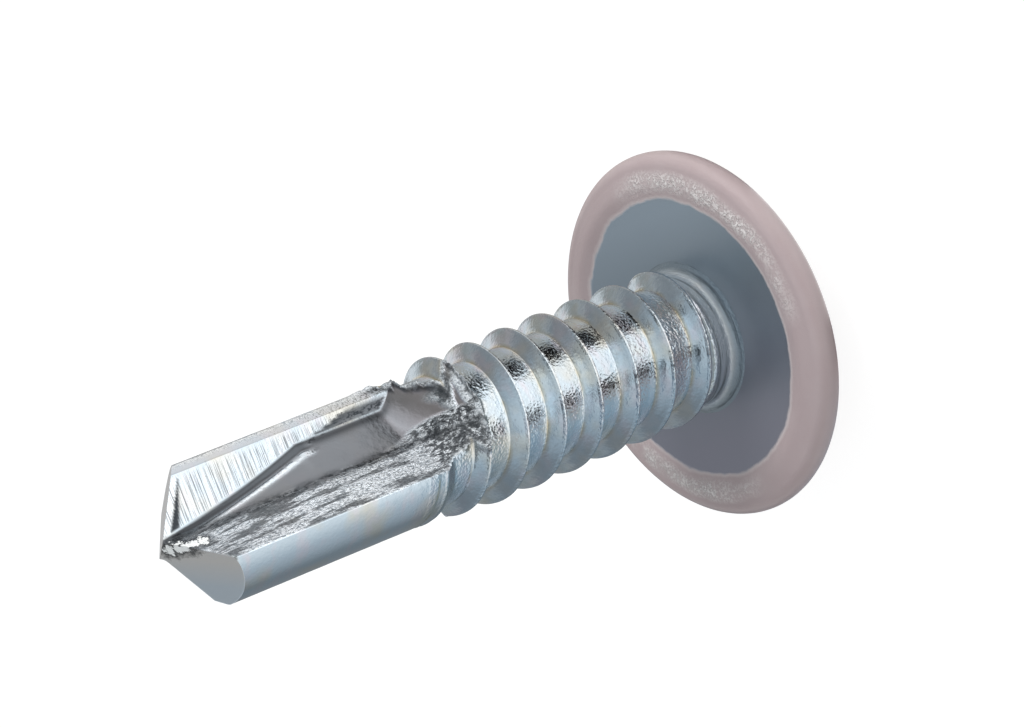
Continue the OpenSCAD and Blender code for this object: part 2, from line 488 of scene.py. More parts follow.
        # small dents, fewer where the surface is smooth, then flakes and fine grain, grinding
        # lines, turning lines, torn streaks along the flute and crumbs of worn plate
        flakes = n.add("TexVoronoi", mm, give="Distance", Scale=12.0)
        bumps = (
            (n.add("TexNoise", mm, 8.0, 3, 0.6), n.add("MapRange", uneven, 0, 1, 0.25, 1), 8.0, 0.14),
            (flakes, uneven, 12.0, 0.14), (n.add("TexNoise", mm, 18.0, 2, 0.6), uneven, 18.0, 0.16),
            (lines, marks[Mask.RAKE], 30.0, 0.12), (rings, marks[Mask.NECK], 14.0, 0.22),
            (streaks, marks[Mask.ROUGH], 24.0, 1.2),
            (n.add("TexNoise", mm, 15.0, 3, 0.7), worn, 15.0, 0.32))
        normal = None
        for pattern, where, waves, slope in bumps:
            normal = n.add("Bump", Height=n.add("Math.MULTIPLY", pattern, where),
                           Distance=bump_depth(waves, slope), Normal=normal)
        chalky = n.add("Math.MULTIPLY", marks[Mask.NECK], 0.3)
        chalky = n.add("Math.MAXIMUM", marks[Mask.MARGIN], chalky)
        chalky = n.add("Math.MAXIMUM", patch, n.add("Math.MULTIPLY", chalky, 0.5))
        shader = n.add("BsdfPrincipled", Base_Color=colour, Roughness=gloss, Normal=normal,
                       Metallic=n.add("Math.SUBTRACT", 1.0, chalky))
        n.add("OutputMaterial", shader)
        return made

    def build_flank(self) -> bpy.types.Material:
        """The finish of the two pinched flank faces: smooth, greyer and softer.

        Returns:
            The material.
        """
        made, n = new_material("zinc_plate_flank")
        mm = n.millimetres()
        x, y, _ = n.add("SeparateXYZ", mm).node.outputs
        away = n.add("Math.ADD", x, n.add("Math.MULTIPLY", y, -0.5))
        away = n.add("MapRange", away, -0.2, -1.2)
        colour = n.add("Mix.RGBA", away, self.flank, self.flank_far)
        patch, ring = self.torn_patch(n)
        colour = n.add("Mix.RGBA", patch, n.add("Mix.RGBA", ring, colour, self.dark), self.pale)
        soft = n.add("Bevel", self.flank_edge_mm * MM, samples=4)
        normal = n.add("Bump", Height=n.add("TexNoise", mm, 5.0, 2, 0.5),
                       Distance=bump_depth(5.0, 0.05), Normal=soft)
        torn = n.add("Math.MULTIPLY", n.add("TexNoise", mm, 12.0, 3, 0.6), patch)
        normal = n.add("Bump", Height=torn, Distance=bump_depth(12.0, 0.3), Normal=normal)
        shader = n.add("BsdfPrincipled", Base_Color=colour, Roughness=self.flank_dull, Normal=normal,
                       Metallic=n.add("Math.SUBTRACT", 1.0, patch))
        n.add("OutputMaterial", shader)
        return made


@dataclass(frozen=True)
class HeadFinish:
    """Satin paint over the head and its rim, and the bare matte steel inside the paint's edge."""

    paint: str = "#AB9899"
    paint_light: str = "#B5A6A6"
    # colour of the painted highlights: the speckled band on the ring and the light line at the paint's
    # edge
    painted_glint: str = "#E2DCDA"
    steel: str = "#93A0AA"
    steel_light: str = "#A3A8AF"
    # tint of the painted reflection of the paint, and the painted lighter side of the bare steel
    painted_lilac_reflection: str = "#A29FAC"
    painted_top_light: str = "#B6C4D0"
    ridge_mm: float = 4.36
    edge_mm: float = 3.88
    face_mm: float = 2.17
    paint_dull: float = 0.42
    steel_dull: float = 0.36
    steel_metal: float = 0.8

    def painted(self, n: Nodes, edge: Socket) -> Socket:
        """Satin paint, with a painted speckled highlight along the ring's ridge and a thin painted
        light line at the paint's edge.

        Args:
            n: the material's nodes.
            edge: distance from the axis in millimetres, waved as the paint's edge is.

        Returns:
            The shader.
        """
        mm = n.millimetres()
        x, y, _ = n.add("SeparateXYZ", mm).node.outputs
        coat = n.add("Mix.RGBA", n.add("TexNoise", mm, 0.8, 3, 0.5), self.paint, self.paint_light)
        middle = n.add("Math.ABSOLUTE", n.add("Math.SUBTRACT", edge, self.ridge_mm))
        # painted highlight: the speckled shine lies in two opposite quarters of the ring
        quarter = n.add("Math.MULTIPLY", x, n.add("Math.MULTIPLY", y, -1.0))
        blotch = n.add("MapRange", n.add("TexNoise", mm, 0.9, 2, 0.5), 0.3, 0.55)
        quarter = n.add("Math.MULTIPLY", n.add("MapRange", quarter, -3.5, 3.5), blotch)
        ridge = n.add("MapRange", middle, 0.05, 0.36, 1, 0)
        band = n.add("Math.MULTIPLY", ridge, quarter)
        specks = n.add("MapRange", n.add("TexNoise", mm, 13.0, 3, 0.7), 0.46, 0.54)
        specks = n.add("Math.MULTIPLY", specks, band)
        # painted highlight: a thin light line along the paint's inner edge
        rim_line = n.add("MapRange", edge, self.edge_mm, self.edge_mm + 0.14, 1, 0)
        for where, share in ((band, 0.35), (specks, 0.9), (rim_line, 0.5)):
            coat = n.add("Mix.RGBA", n.add("Math.MULTIPLY", where, share), coat, self.painted_glint)
        normal = None
        for pattern, waves, slope in ((n.add("TexNoise", mm, 5.0, 3, 0.6), 5.0, 0.08),
                                      (n.add("TexNoise", mm, 18.0, 2, 0.6), 18.0, 0.1),
                                      (specks, 13.0, 0.4)):
            normal = n.add("Bump", Height=pattern, Distance=bump_depth(waves, slope), Normal=normal)
        return n.add("BsdfPrincipled", Base_Color=coat, Roughness=self.paint_dull, Normal=normal,
                     Coat_Weight=0.4, Coat_Roughness=0.3)

    def bare(self, n: Nodes) -> Socket:
        """Matte steel that turns from blue to lilac across the head, a painted reflection of the paint,
        and is painted lighter towards +X.

        Args:
            n: the material's nodes.

        Returns:
            The shader.
        """
        mm = n.millimetres()
        x = n.add("SeparateXYZ", mm)
        shade = n.add("Math.MULTIPLY", n.add("TexNoise", mm, 0.7, 2, 0.5), 0.3)
        colour = n.add("Mix.RGBA", shade, self.steel, self.steel_light)
        # painted reflection: lilac towards -X
        lilac_reflection = n.add("MapRange", x, 1.5, -3.0, 0, 0.8)
        colour = n.add("Mix.RGBA", lilac_reflection, colour, self.painted_lilac_reflection)
        # painted light: lighter towards +X
        top = n.add("MapRange", x, 0.8, 3.4, 0, 0.8)
        colour = n.add("Mix.RGBA", top, colour, self.painted_top_light)
        normal = n.add("Bump", Height=n.add("TexNoise", mm, 20.0, 2, 0.5),
                       Distance=bump_depth(20.0, 0.03))
        return n.add("BsdfPrincipled", Base_Color=colour, Metallic=self.steel_metal,
                     Roughness=self.steel_dull, Normal=normal)

    def build(self) -> bpy.types.Material:
        """The finish of the head, with the paint's own wavy edge.

        Returns:
            The material.
        """
        made, n = new_material("head_paint_and_steel")
        mm = n.millimetres()
        x, y, z = n.add("SeparateXYZ", mm).node.outputs
        edge = n.add("VectorMath.LENGTH", n.add("CombineXYZ", x, y))
        for waves, detail, rough, reach in ((1.1, 2, 0.5, 0.22), (6.0, 3, 0.6, 0.08)):
            wave = n.add("Math.SUBTRACT", n.add("TexNoise", mm, waves, detail, rough), 0.5)
            edge = n.add("Math.ADD", edge, n.add("Math.MULTIPLY", wave, reach))
        ring = n.add("MapRange", edge, self.edge_mm - 0.03, self.edge_mm + 0.05)
        below = n.add("Math.LESS_THAN", z, self.face_mm)
        coated = n.add("Math.MAXIMUM", ring, below, use_clamp=True)
        n.add("OutputMaterial", n.add("MixShader", coated, self.bare(n), self.painted(n, edge)))
        return made


@dataclass
class Head:
    """Pan head with its washer flange and cross recess, all in millimetres from the crown."""

    flange_r: float = 5.1
    height: float = 2.2
    rim_r: float = 0.4
    crown_r: float = 2.6
    pan_r: float = 3.8
    inner_r: float = 1.4
    step_r: float = 3.88
    step_h: float = 0.02
    dome_h: float = 0.055
    wing_span: float = 4.4
    wing_w: float = 1.1
    wing_w_in: float = 0.75
    wing_depth: float = 1.75
    wing_end_share: float = 0.44
    wing_edge_r: float = 0.05
    well_r: float = 1.25
    well_wide_share: float = 1.3
    well_end_share: float = 0.62
    well_point: float = 0.35
    crisp_angle: float = 40.0
    around: int = 200

    def outline(self) -> list[tuple[float, float]]:
        """Draws the turned section, from the crown's middle to the neck.

        Returns:
            Radius and height of each point, in millimetres.
        """
        pan_h = self.height - 2 * self.rim_r - 0.12
        points = [(0.0, 0.0), (self.crown_r * 0.5, 0.0), (self.crown_r * 0.96, 0.0)]
        for i in range(1, 13):
            a = math.radians(90 * i / 12)
            points.append((self.crown_r + (self.pan_r - self.crown_r) * math.sin(a),
                           pan_h * (1 - math.cos(a))))
        points.append((self.pan_r + 0.04, pan_h + 0.08))
        for i in range(19):
            a = math.radians(-90 + 10 * i)
            points.append((self.flange_r - self.rim_r + self.rim_r * math.cos(a),
                           self.height - self.rim_r + self.rim_r * math.sin(a)))
        for r in np.linspace(self.flange_r - self.rim_r - 0.08, self.step_r - 0.3, 16):
            points.append((float(r), self.height))
        for r in np.linspace(self.step_r - 0.5, self.inner_r, 6):
            points.append((float(r), self.height))
        points.append((self.inner_r, self.height - 0.3))
        return points

    def cutter(self) -> bpy.types.Object:
        """The cross recess as a solid: two tapered bars and a well, drawn together.

        Returns:
            The solid to cut away.
        """
        deselect()
        long = self.wing_span / 2 / math.cos(math.asin(self.wing_w / self.wing_span))
        parts = []
        for turn in (0, 90):
            bpy.ops.mesh.primitive_cube_add(size=1)
            bar = bpy.context.object
            bar.scale = (2 * long * MM, self.wing_w * MM, self.wing_depth * 2 * MM)
            settle(bar)
            bpy.ops.object.mode_set(mode="EDIT")
            bpy.ops.mesh.select_all(action="DESELECT")
            bpy.ops.object.mode_set(mode="OBJECT")
            for v in bar.data.vertices:
                v.select = v.co.z > 0
            bpy.ops.object.mode_set(mode="EDIT")
            bpy.ops.transform.resize(value=(self.wing_end_share, self.wing_w_in / self.wing_w, 1))
            bpy.ops.mesh.select_all(action="SELECT")
            bpy.ops.mesh.bevel(offset=self.wing_edge_r * MM, segments=2, affect="EDGES")
            bpy.ops.object.mode_set(mode="OBJECT")
            bar.rotation_euler = (0, 0, math.radians(turn))
            settle(bar)
            parts.append(bar)
        deselect()
        bpy.ops.mesh.primitive_cone_add(vertices=64,
                                        radius1=self.well_r * self.well_wide_share * MM,
                                        radius2=self.well_r * self.well_end_share * MM,
                                        depth=2 * (self.wing_depth - 0.2) * MM)
        well = bpy.context.object
        bpy.ops.object.mode_set(mode="EDIT")
        bpy.ops.mesh.select_all(action="DESELECT")
        bpy.ops.object.mode_set(mode="OBJECT")
        for face in well.data.polygons:
            face.select = face.normal.z > 0.9
        bpy.ops.object.mode_set(mode="EDIT")
        step = (0, 0, self.well_point * MM)
        bpy.ops.mesh.extrude_region_move(TRANSFORM_OT_translate={"value": step})
        bpy.ops.transform.resize(value=(0.15, 0.15, 1))
        bpy.ops.object.mode_set(mode="OBJECT")
        for bar in parts:
            union = well.modifiers.new("join", "BOOLEAN")
            union.operation = "UNION"
            union.object = bar
            activate(well)
            bpy.ops.object.modifier_apply(modifier=union.name)
        for bar in parts:
            bpy.data.objects.remove(bar)
        return well

    def build(self) -> bpy.types.Object:
        """Turns the section round the axis and cuts the recess.

        Returns:
            The head.
        """
        obj = draw_outline("painted_head", self.outline())
        activate(obj)
        bpy.ops.object.mode_set(mode="EDIT")
        bpy.ops.mesh.select_all(action="SELECT")
        bpy.ops.mesh.spin(steps=self.around, angle=2 * math.pi, center=(0, 0, 0), axis=(0, 0, 1))
        bpy.ops.mesh.select_all(action="SELECT")
        bpy.ops.mesh.remove_doubles(threshold=MERGE * MM)
        bpy.ops.mesh.select_all(action="DESELECT")
        bpy.ops.mesh.select_non_manifold()
        bpy.ops.mesh.edge_face_add()
        bpy.ops.mesh.select_all(action="SELECT")
        bpy.ops.mesh.normals_make_consistent(inside=False)
        bpy.ops.object.mode_set(mode="OBJECT")
        cutter = self.cutter()
        cut = obj.modifiers.new("recess", "BOOLEAN")
        cut.operation = "DIFFERENCE"
        cut.object = cutter
        activate(obj)
        bpy.ops.object.modifier_apply(modifier=cut.name)
        bpy.data.objects.remove(cutter)
        self.raise_paint(obj)
        finish_mesh(obj, self.crisp_angle)
        return obj

    def raise_paint(self, obj: bpy.types.Object) -> None:
        """Lifts the painted ring of the bearing face by its coat and gives it its low dome.

        Args:
            obj: the head.
        """
        points = read_points(obj)
        on_face = np.abs(points[:, 2] - self.height) < 0.001
        radius = np.hypot(points[:, 0], points[:, 1])
        lift = smooth(self.step_r - 0.05, self.step_r + 0.12, radius)
        outside = self.flange_r - self.rim_r
        lift *= 1 - smooth(outside - 0.1, outside, radius)
        across = np.clip((radius - self.step_r) / (outside - self.step_r), 0, 1)
        dome = self.dome_h * np.sin(math.pi * across) ** 2
        points[:, 2] += np.where(on_face, lift * self.step_h + dome, 0)
        write_points(obj, points)

    def dress(self, obj: bpy.types.Object, finish: HeadFinish) -> None:
        """Gives the head its paint and bare steel."""
        obj.data.materials.clear()
        obj.data.materials.append(finish.build())


@dataclass
class Flute:
    """One flute of the drill point, in millimetres, with its lip on +X before it is turned."""

    lip_ahead: float = 0.18
    margin_start: float = 1.65
    web_tip: float = 0.4
    web_slope: float = 0.11
    web_deep: float = 0.925
    corner: float = 0.08
    hollow: float = 0.1
    groove: float = 0.03
    ridge: float = 0.03
    angle: float = 115.6
    straight: float = 7.6
    length: float = 9.75
    run_out_rise: float = 0.95
    run_out_bend: float = 1.3
    run_out_turn: float = 17.0
    hollow_half: float = 2.6
    drill_r: float = 1.89

    def web(self, h: np.ndarray) -> np.ndarray:
        """Half thickness of the web at distances h from the point."""
        return np.minimum(self.web_tip + self.web_slope * np.maximum(h, -0.5), self.web_deep)

    def run_out(self, h: np.ndarray) -> np.ndarray:
        """How far along its run-out the floor is at distances h from the point, from 0."""
        return np.clip((h - self.straight) / (self.length - self.straight), 0, None)

    def floor(self, h: np.ndarray) -> np.ndarray:
        """Distance of the floor from the axis at distances h from the point."""
        return self.web(h) + self.run_out_rise * self.run_out(h) ** self.run_out_bend

    def facing(self, h: np.ndarray) -> np.ndarray:
        """Direction that the floor faces, in degrees from the lip."""
        turned = self.run_out_turn * self.run_out(h)
        return self.angle - np.degrees(np.arccos(self.web(h) / self.drill_r)) + turned

    def past(self, phi: np.ndarray, h: np.ndarray, floor: np.ndarray) -> np.ndarray:
        """How far points lie beyond the floor's corner with the rake face.

        Args:
            phi: direction of each point in degrees from the lip.
            h: distance of each point from the drill point.
            floor: distance of each point from the axis.

        Returns:
            The distances in millimetres.
        """
        turn = np.radians(self.facing(h))
        corner = (self.floor(h) - self.hollow - self.lip_ahead * np.sin(turn)) / np.cos(turn)
        return corner - floor * np.cos(np.radians(phi))

    def radius(self, phi: np.ndarray, h: np.ndarray) -> tuple[np.ndarray, np.ndarray, np.ndarray]:
        """Where a ray from the axis leaves the steel inside this flute.

        Args:
            phi: direction of each ray in degrees from the lip, towards the flute.
            h: distance of each ray from the point.

        Returns:
            The radius, and the radii of the rake face and of the floor by themselves.
        """
        a = np.radians(phi)
        with np.errstate(divide="ignore", invalid="ignore"):
            face = np.where(np.sin(a) > 0.02, self.lip_ahead / np.sin(a), FAR)
            slant = np.sin(a) + np.cos(a)
            bevel = np.where(slant > 0.05, (self.lip_ahead + self.margin_start) / slant, FAR)
            lean = np.radians(phi - self.facing(h))
            floor = np.where(np.cos(lean) > 0.1, self.floor(h) / np.cos(lean), FAR)
        across = np.clip(np.tan(np.clip(lean, -1.3, 1.3)) * self.floor(h) / self.hollow_half, -1, 1)
        floor = floor - self.hollow * (1 - across ** 2) * (floor < FAR)
        # beyond the corner the floor dips, and then a thin burr stands along it
        past = self.past(phi, h, floor)
        live = within((0.5, 1.2), (4.8, 5.4), h) * (phi > 6) * (floor < 4)
        floor = floor - self.groove * bell(0.12, 0.08, past) * live
        floor = floor + self.ridge * bell(0.24, 0.03, past) * live
        rake = np.minimum(face, bevel)
        rake = np.where((phi > 178) | (phi < -60), FAR, rake)
        return soft_max(rake, floor, self.corner), rake, floor


@dataclass(frozen=True)
class FluteMarks:
    """Where burrs, painted shade and torn steel lie in a flute, in millimetres and degrees.

    A pair is the span over which a mark comes in or dies out. It is a distance from the drill
    point, apart from depths under the blank in deep, distances beyond the floor's corner in past
    and degrees from the lip in turn.
    """

    run_out: float = 1.2
    rake_turn: Span = (6.2, 7.0)
    lip_wide: Span = (0.2, 0.24)
    triangle_wide: float = 0.36
    triangle_out: float = 1.6
    wedge_rise: float = 0.5
    wedge_start: float = 4.9
    wedge_long: float = 2.0
    wedge_in: Span = (4.7, 5.1)
    foot_in: Span = (4.7, 5.2)
    foot_out: Span = (8.6, 9.4)
    burr_past: float = 0.27
    burr_wide: float = 0.07
    burr_in: Span = (0.5, 1.2)
    burr_out: Span = (4.9, 5.3)
    seam_past: Span = (0.14, 0.2)
    seam_out: Span = (4.9, 5.4)
    corner_in: Span = (4.9, 5.3)
    corner_out: Span = (7.6, 8.2)
    curl_in: Span = (7.2, 7.8)
    curl_out: Span = (9.8, 10.2)
    border_x: float = 0.14
    border_rise: float = 0.45
    border_in: Span = (6.4, 8.8)
    tail_in: Span = (7.5, 8.0)
    tail_out: Span = (9.3, 9.5)
    end_in: Span = (8.3, 8.6)
    end_turn: Span = (30, 45)
    strip_in: Span = (9.3, 9.42)
    torn_deep: Span = (0.24, 0.4)
    bead_deep: Span = (0.12, 0.15)
    rolled_out: Span = (10.2, 10.5)
    rolled_wide: float = 0.09
    rolled_top_wide: float = 0.05
    rolled_shares: tuple[float, float] = (1.0, 0.35)
    streak_high: float = 0.022
    margin_high: float = 0.004


@dataclass(frozen=True)
class Grain:
    """Noise at each point of the shank that makes its marks uneven."""

    wander: np.ndarray
    fine: np.ndarray
    streak: np.ndarray

    @classmethod
    def at(cls, points: np.ndarray) -> "Grain":
        """Reads the three noises.

        Args:
            points: points on a cylinder of radius one.

        Returns:
            The noises at those points.
        """
        streak = grain(points, (9, 9, 0.7), 1.3) + 0.5 * grain(points, (26, 26, 2.0), 5.9)
        streak = streak + 1.6 * grain(points, (3.4, 3.4, 0.35), 4.4)
        return cls(grain(points, (2.5, 2.5, 1.8), 3.1), grain(points, (6, 6, 7), 7.7), streak)


@dataclass(frozen=True)
class FluteReading:
    """What one flute does at each point of the mesh, in millimetres and degrees.

    phi is the direction from the lip, h the distance from the drill point, cut the radius that
    the flute leaves, depth how far that lies under the blank and x the distance along the lip.
    past, corner and beyond say how far the floor, the cut face and the narrowed rake face lie
    beyond the floor's corner. The others are shares from 0 to 1: the rake face, the floor, the
    wedge that takes over from the rake face, painted dark as shade, and the burr along the corner.
    """

    phi: np.ndarray
    h: np.ndarray
    cut: np.ndarray
    depth: np.ndarray
    x: np.ndarray
    past: np.ndarray
    corner: np.ndarray
    beyond: np.ndarray
    on_rake: np.ndarray
    on_floor: np.ndarray
    wedge: np.ndarray
    burr: np.ndarray


@dataclass
class Shank:
    """Neck, thread and drill point as one mesh, in millimetres above the bearing face."""

    face: float
    length: float = 18.1
    neck_r: float = 1.82
    neck_fillet: float = 0.31
    neck_l: float = 0.72
    thread_r: float = 2.1
    land_r: float = 1.66
    core_r: float = 1.54
    pitch: float = 1.294
    flank: float = 30.0
    crest_w: float = 0.07
    first_crest: float = 0.78
    drill_r: float = 1.89
    drill_l: float = 7.5
    thread_end: float = 7.9
    lip_slope: float = 0.65
    clearances: tuple[float, float] = (0.55, 0.2)
    corner_r: float = 0.3
    around: int = 180
    sink: float = 0.2
    crisp_angle: float = 34.0
    point_l: float = 2.4
    flute: Flute = field(default_factory=Flute)
    marks: FluteMarks = FluteMarks()

    def section(self) -> list[tuple[float, float]]:
        """Draws one turn of thread, from the middle of a land to the next one.

        Returns:
            Radius and height of each point, in millimetres.
        """
        half = self.pitch / 2
        rise = self.thread_r - self.land_r
        foot = self.crest_w / 2 + rise * math.tan(math.radians(self.flank))
        side: list[tuple[float, float]] = []
        for s in np.linspace(half, foot + 0.05, 7):
            side.append((self.land_r, float(s)))
        side.append((self.land_r + 0.015, foot))
        for k in np.linspace(0, 1, 7)[1:]:
            up = 0.04 + (rise - 0.04) * float(k)
            side.append((self.land_r + up, foot - up * math.tan(math.radians(self.flank))))
        lower = [(r, -s) for r, s in side]
        return lower + [(self.thread_r + 0.006, 0.0)] + side[::-1]

    def lines(self) -> np.ndarray:
        """Spaces the mesh's lines round the axis, closer where a flute's face is steep.

        Returns:
            The angle of each line in degrees, in rising order.
        """
        f = self.flute
        margin = np.linspace(-4.2, math.degrees(math.atan2(f.lip_ahead, f.margin_start)), 7)
        rake = np.degrees(np.arcsin(f.lip_ahead / np.linspace(f.margin_start, 0.42, 19)[1:]))
        floor = np.linspace(rake[-1], f.angle - 0.8, 42)[1:]
        heel = np.array([f.angle, f.angle + 0.8])
        rest = self.around // 2 - len(margin) - len(rake) - len(floor) - len(heel)
        land = np.linspace(heel[-1], 180 + margin[0], rest + 2)[1:-1]
        half = np.concatenate([margin, rake, floor, heel, land])
        turned = np.concatenate([half, half + 180])
        # the flutes lie on the falling side of each lip, so the angles run the other way
        return np.sort(np.mod(-turned, 360))

    def outer(self, turn_r: np.ndarray, z: np.ndarray) -> np.ndarray:
        """Radius of the blank with its thread, before the flutes are cut.

        Args:
            turn_r: radius of a full turn of thread at each point.
            z: height of each point over the bearing face.

        Returns:
            The radius at each point.
        """
        end = (self.length - self.thread_end - z) / 1.5
        share = np.clip(np.minimum.reduce([(z - 0.3) / 0.5, 0.42 + 0.58 * end, 1.7 * end]), 0, 1)
        rise = self.thread_r - self.land_r
        thread = np.maximum(turn_r - (1 - share) * rise, self.land_r)
        body = np.full_like(z, self.core_r)
        to_land = smooth(self.neck_l, self.neck_l + 0.3, z)
        neck = self.neck_r + (self.land_r - 0.02 - self.neck_r) * to_land
        body = np.where(z < self.neck_l + 0.3, neck, body)
        flare = 1 - np.clip(z / self.neck_fillet, -0.8, 1)
        body = np.where(z < self.neck_fillet, self.neck_r + self.neck_fillet * flare ** 2.6, body)
        start = self.length - self.drill_l
        to_drill = smooth(start - 0.8, start - 0.3, z)
        body = np.maximum(body, self.land_r + (self.drill_r - self.land_r) * to_drill)
        top = self.length - self.lip_slope * self.drill_r + 0.2
        above = np.clip((z - top) / self.corner_r, 0, 0.87)
        rounded = self.drill_r - self.corner_r * (1 - np.sqrt(1 - above ** 2))
        body = np.where(z > top, np.minimum(body, rounded), body)
        return np.maximum(thread, body)

    def read_flute(self, half: int, angle: np.ndarray, h: np.ndarray, outer: np.ndarray,
                   wander: np.ndarray) -> FluteReading:
        """Finds what one flute does at each point.

        Args:
            half: 0 for the flute whose lip is on +X, 180 for the other one.
            angle: direction of each point round the axis, in degrees.
            h: distance of each point from the drill point.
            outer: radius of the blank at each point.
            wander: slow noise.

        Returns:
            The reading.
        """
        m = self.marks
        phi = np.mod(-angle - half + 60, 360) - 60
        cut, rake, floor = self.flute.radius(phi, h)
        cut = np.where(h < self.flute.length + m.run_out, cut, FAR)
        depth = outer - cut
        on_rake = smooth(-0.02, 0.05, rake - floor) * smooth(*m.rake_turn, phi)
        on_rake = on_rake * smooth(0.0, 0.05, depth)
        on_floor = smooth(-0.02, 0.1, floor - rake) * smooth(0.0, 0.06, depth)
        past = self.flute.past(phi, h, floor)
        corner = self.flute.past(phi, h, cut)
        # the rake face narrows to nothing before the flute's end
        rise = m.wedge_rise * np.clip((h - m.wedge_start) / m.wedge_long, 0, 1)
        beyond = corner + rise + 0.03 * wander
        wedge = smooth(0.0, 0.05, beyond) * smooth(*m.wedge_in, h) * on_rake
        burr = bell(m.burr_past, m.burr_wide, past) * on_floor * within(m.burr_in, m.burr_out, h)
        return FluteReading(phi=phi, h=h, cut=cut, depth=depth, x=cut * np.cos(np.radians(phi)),
                            past=past, corner=corner, beyond=beyond, on_rake=on_rake - wedge,
                            on_floor=on_floor, wedge=wedge, burr=burr)

    def mark_lip(self, r: FluteReading, fall: float) -> tuple[np.ndarray, np.ndarray]:
        """A pale strip along the lip on the rake face, and a dark triangle of painted shade below it.

        Args:
            r: reading of the flute.
            fall: clearance of the flank face behind this lip.

        Returns:
            The strip and the triangle, from 0 to 1.
        """
        m = self.marks
        below = r.h - self.lip_slope * r.x + fall * r.cut * np.sin(np.radians(r.phi))
        strip = r.on_rake * (1 - smooth(*m.lip_wide, below))
        edge = m.lip_wide[1] + m.triangle_wide * np.clip(1 - r.x / m.triangle_out, 0, 1)
        return strip, r.on_rake * within(m.lip_wide, (edge - 0.04, edge + 0.04), below)

    def mark_end(self, r: FluteReading, noises: Grain
                 ) -> tuple[np.ndarray, np.ndarray, np.ndarray]:
        """Torn steel where the floor runs out: a pale bead and a dark line of painted shadow below it.

        Args:
            r: reading of the flute.
            noises: the noise at each point.

        Returns:
            The torn steel, the bead and the line, from 0 to 1.
        """
        m = self.marks
        at_end = r.on_floor * smooth(*m.end_in, r.h) * smooth(*m.end_turn, r.phi)
        uneven = r.depth + 0.03 * noises.fine
        strip = at_end * smooth(*m.strip_in, r.h + 0.12 * noises.wander)
        torn, bead = [np.maximum(strip, at_end * (1 - smooth(*deep, uneven)))
                      for deep in (m.torn_deep, m.bead_deep)]
        return torn, bead, at_end * within((0.13, 0.16), (0.2, 0.27), uneven) * (1 - strip)

    def mark_painted_shade(self, r: FluteReading, border: np.ndarray, wander: np.ndarray
                   ) -> tuple[np.ndarray, np.ndarray]:
        """Painted shade: plain dark lines, and broader shade that the finish breaks up into spots.

        Args:
            r: reading of the flute.
            border: distance along the lip at which the smooth floor turns rough.
            wander: slow noise.

        Returns:
            The lines and the grime, from 0 to 1.
        """
        m = self.marks
        # painted shade lines in the flute's seams and corners and under the curled burr
        seam = (1 - smooth(*m.seam_past, r.past)) * (r.past > -0.2) * (1 - smooth(*m.seam_out, r.h))
        upper = r.on_floor * bell(0.0, 0.12, r.x - m.border_x - 0.05 * wander)
        curl = within((0.05, 0.08), (0.1, 0.22), r.depth) * (r.phi < 70)
        curl = curl * within(m.curl_in, m.curl_out, r.h)
        corner = bell(0.03, 0.12, r.corner) * smooth(0.0, 0.05, r.depth)
        corner = corner * within(m.corner_in, m.corner_out, r.h)
        wedge = r.wedge * (0.62 + 0.3 * (1 - smooth(0.05, 0.3, r.beyond)))
        lines = greatest(0.8 * seam * r.on_floor, 0.7 * upper, 0.85 * curl, 0.75 * corner, wedge)
        foot = bell(0.1, 0.13, r.beyond) * within(m.foot_in, m.foot_out, r.h)
        tail = smooth(*m.tail_in, r.h + 0.3 * wander) * (1 - smooth(*m.tail_out, r.h))
        tail = tail * (r.x < border)
        return lines, greatest(foot * r.on_floor, 0.9 * tail * r.on_floor, r.wedge, upper)

    def roll_burr(self, r: FluteReading, cut: np.ndarray, outer: np.ndarray, share: float
                  ) -> tuple[np.ndarray, np.ndarray]:
        """The rolled burr where the flute cuts the last turns.

        Args:
            r: reading of the flute.
            cut: radius that the flute leaves, with its streaks.
            outer: radius of the blank.
            share: how high this flute's burr is.

        Returns:
            The burr and its top edge, from 0 to 1.
        """
        m = self.marks
        zone = within((self.drill_l - 0.6, self.drill_l + 0.2), m.rolled_out, r.h) * (r.phi > -12)
        rolled = bell(0.0, m.rolled_wide, outer - cut) * zone * (r.phi < 118) * share
        rolled = rolled * ((r.phi < 60) | (r.h > 8.6))
        return rolled, bell(0.0, m.rolled_top_wide, outer - cut) * zone * (r.phi < 110)

    def mark_thread(self, masks: dict[Mask, np.ndarray], z: np.ndarray, angle: np.ndarray,
                    whole: np.ndarray) -> None:
        """Adds the masks of the neck, the thread and the drill body.

        Args:
            masks: the masks so far, which the new ones are written into.
            z: height of each point over the bearing face.
            angle: direction of each point round the axis, in degrees.
            whole: where no flute has cut the blank.
        """
        masks[Mask.NECK] = 1 - smooth(self.neck_l - 0.15, self.neck_l + 0.1, z)
        half = self.pitch / 2
        across = np.mod(z - self.first_crest + self.pitch * angle / 360 + half, self.pitch) - half
        uncut = whole & (z < self.length - self.thread_end + 1.0) & (z > 0.4)
        masks[Mask.CREST] = (1 - smooth(0.02, 0.045, np.abs(across))) * uncut
        masks[Mask.ROOT] = (1 - smooth(0.01, 0.045, np.abs(across - 0.3))) * uncut
        masks[Mask.FLANK] = within((0.04, 0.08), (0.26, 0.33), np.abs(across)) * uncut
        drill_body = 0.85 * (self.length - z < self.drill_l - 0.3) * whole
        masks[Mask.SMOOTH] = greatest(masks[Mask.FLOOR], 0.75 * masks[Mask.FLANK], drill_body)

